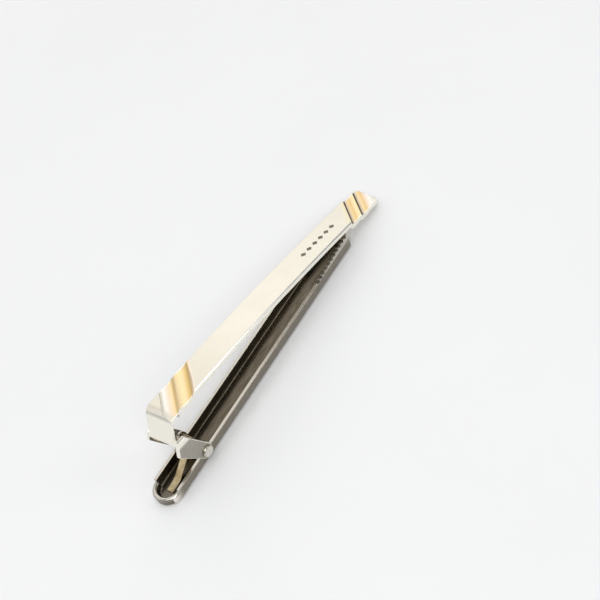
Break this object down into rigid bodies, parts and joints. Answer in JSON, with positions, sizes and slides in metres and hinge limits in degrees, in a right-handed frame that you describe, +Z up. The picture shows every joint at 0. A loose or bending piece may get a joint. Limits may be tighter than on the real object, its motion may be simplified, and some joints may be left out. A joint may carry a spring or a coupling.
{
  "type": "tie bar",
  "caption": "Slim two-tone tie bar: a bowed front bar with sloping gilt flutes at both ends, and a sprung channel lever that closes on its underside.",
  "frame": {"origin": "centre of the bounding box's underside: under the lever, midway along and across the shut clasp", "axes": "+X from the thumb end to the jaw and the bar's tip, +Z up from the lever's back to the front bar, +Y across"},
  "size_m": [0.064, 0.007, 0.014],
  "materials": {
    "satin_silver": "satin silver plating, with gilt flutes at both ends",
    "polished_nickel": "polished nickel plating",
    "pin_nickel": "polished, riveted heads",
    "spring_strip": "rolled bronze strip"
  },
  "bodies": {
    "lever": {"clasp_lever": "polished_nickel", "hinge_spring": "spring_strip"},
    "front": {"front_bar": "satin_silver", "hinge_pin": "pin_nickel"}
  },
  "joints": [
    {"name": "clasp_hinge", "type": "hinge", "parent": "lever", "child": "front", "pos_m": [-0.02233, 0, 0.0028], "axis": [0, -1, 0], "range_deg": [0, 30], "stiffness_Nm_per_rad": 0.04, "springref_deg": -28.65, "deforming": ["hinge_spring"]}
  ]
}
